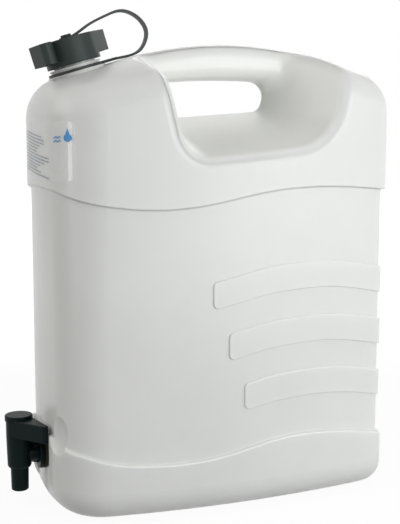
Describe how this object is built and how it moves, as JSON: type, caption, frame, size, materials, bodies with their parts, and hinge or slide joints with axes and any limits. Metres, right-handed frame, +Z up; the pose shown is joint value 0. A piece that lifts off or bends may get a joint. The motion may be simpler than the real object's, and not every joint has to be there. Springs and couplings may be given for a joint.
{
  "type": "water jerrycan",
  "caption": "Translucent water jerrycan with a carrying bar, a winged screw cap held by a strap, and a turning tap low on one end.",
  "frame": {"origin": "on the floor, under the middle of the can's base", "axes": "+Z up; +X from the tap and neck end to the other end; the ribbed face shown in the picture is at -Y"},
  "size_m": [0.3469, 0.186, 0.4382],
  "materials": {
    "can_shell": "translucent, satin",
    "cap_plastic": "satin",
    "seal_rubber": "matte",
    "strap_plastic": "satin",
    "tap_plastic": "satin",
    "lever_plastic": "satin",
    "gasket_rubber": "matte",
    "nut_plastic": "satin",
    "ring_rubber": "matte",
    "label_film": "clear film"
  },
  "bodies": {
    "can": {"canister": "can_shell", "tap_body": "tap_plastic", "tap_gasket": "gasket_rubber", "tap_back_nut": "nut_plastic", "instruction_label": "label_film"},
    "strap": {"retaining_strap": "strap_plastic"},
    "cap": {"screw_cap": "cap_plastic", "cap_seal": "seal_rubber"},
    "tap_key": {"tap_plug": "lever_plastic", "plug_o_rings": "ring_rubber"}
  },
  "joints": [
    {"name": "cap_lift", "type": "slide", "parent": "can", "child": "strap", "axis": [-0.2924, 0, 0.9563], "range_m": [0, 0.02], "deforming": ["retaining_strap"]},
    {"name": "cap_turn", "type": "hinge", "parent": "strap", "child": "cap", "pos_m": [-0.1177, 0, 0.382], "axis": [-0.2924, 0, 0.9563], "range_deg": [0, 1200]},
    {"name": "tap_turn", "type": "hinge", "parent": "can", "child": "tap_key", "pos_m": [-0.1756, 0, 0.06], "axis": [0, 0, 1], "range_deg": [-90, 0]}
  ],
  "couplings": [
    {"joint": "cap_lift", "follows": "cap_turn", "m_per_rad": 0.00095493}
  ]
}
